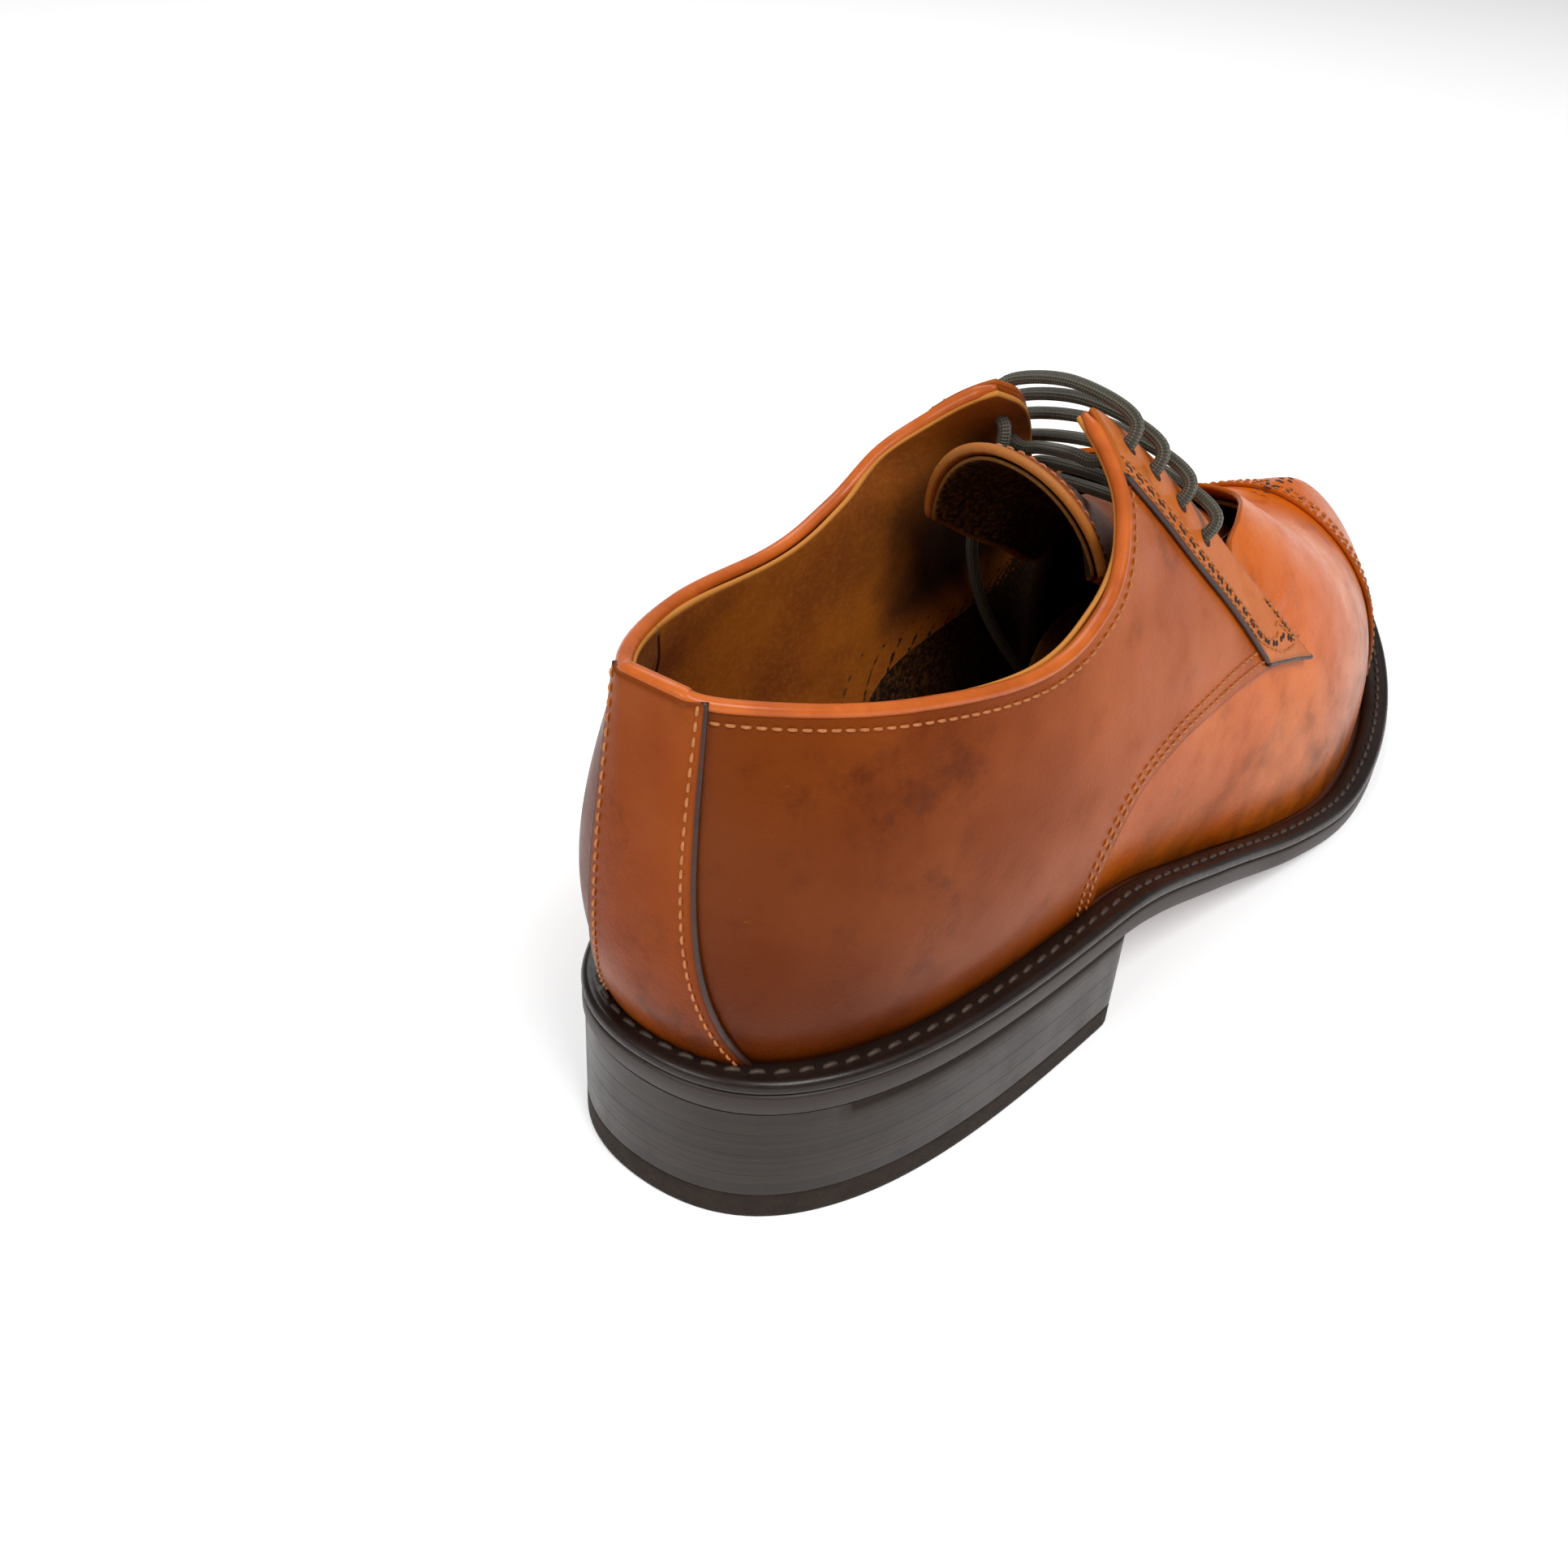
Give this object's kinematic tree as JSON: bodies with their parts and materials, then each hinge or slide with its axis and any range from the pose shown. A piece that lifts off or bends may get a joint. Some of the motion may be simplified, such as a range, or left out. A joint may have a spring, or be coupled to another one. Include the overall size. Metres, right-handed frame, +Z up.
{
  "type": "leather derby shoe",
  "caption": "Low lace-up leather dress shoe with open lacing, straight toe cap, stitched welt, leather sole and stacked heel.",
  "frame": {"origin": "centre of the overall box at the ground", "axes": "+X to the toe, +Y to the inner side of this right shoe, +Z up"},
  "size_m": [0.307, 0.1092, 0.1216],
  "materials": {
    "welt": "waxed dark brown edge",
    "outsole": "dark brown dyed leather sole",
    "heel_stack": "dark brown waxed stacked leather",
    "top_piece": "matt brown rubber",
    "nail": "plain steel",
    "insole": "natural leather board",
    "cork": "pressed cork filler",
    "shank": "plain steel",
    "upper": "tan burnished calf",
    "toe": "lighter orange tan calf",
    "lining": "tan lining leather",
    "stiffener": "stiffener board",
    "pad": "perforated padded sock",
    "tongue": "tan leather with raw edges",
    "lace": "waxed round cotton lace, olive grey",
    "aglet": "wrapped plastic tip"
  },
  "bodies": {
    "shoe": {"heel_lift_1": "heel_stack", "heel_lift_2": "heel_stack", "heel_lift_3": "heel_stack", "heel_lift_4": "heel_stack", "heel_nail_1": "nail", "heel_nail_2": "nail", "heel_nail_3": "nail", "heel_nail_4": "nail", "heel_nail_5": "nail", "top_piece": "top_piece", "outsole": "outsole", "welt": "welt", "cork_filler": "cork", "shank": "shank", "insole_board": "insole", "heel_pad": "pad", "sock_lining": "lining", "quarter_lateral": "upper", "facing_lateral": "upper", "quarter_lining_lateral": "lining", "quarter_medial": "upper", "facing_medial": "upper", "quarter_lining_medial": "lining", "heel_strip": "upper", "heel_grip": "lining", "heel_counter": "stiffener", "vamp": "toe", "toe_cap": "toe", "toe_puff": "stiffener", "vamp_lining": "lining", "shoelace": "lace", "aglet_1": "aglet", "aglet_2": "aglet"},
    "tongue": {"tongue": "tongue", "tongue_lining": "lining"}
  },
  "joints": [
    {"name": "tongue_hinge", "type": "hinge", "parent": "shoe", "child": "tongue", "pos_m": [0.04115, 0, 0.0685], "axis": [0, 1, 0], "range_deg": [-12, 0]}
  ]
}
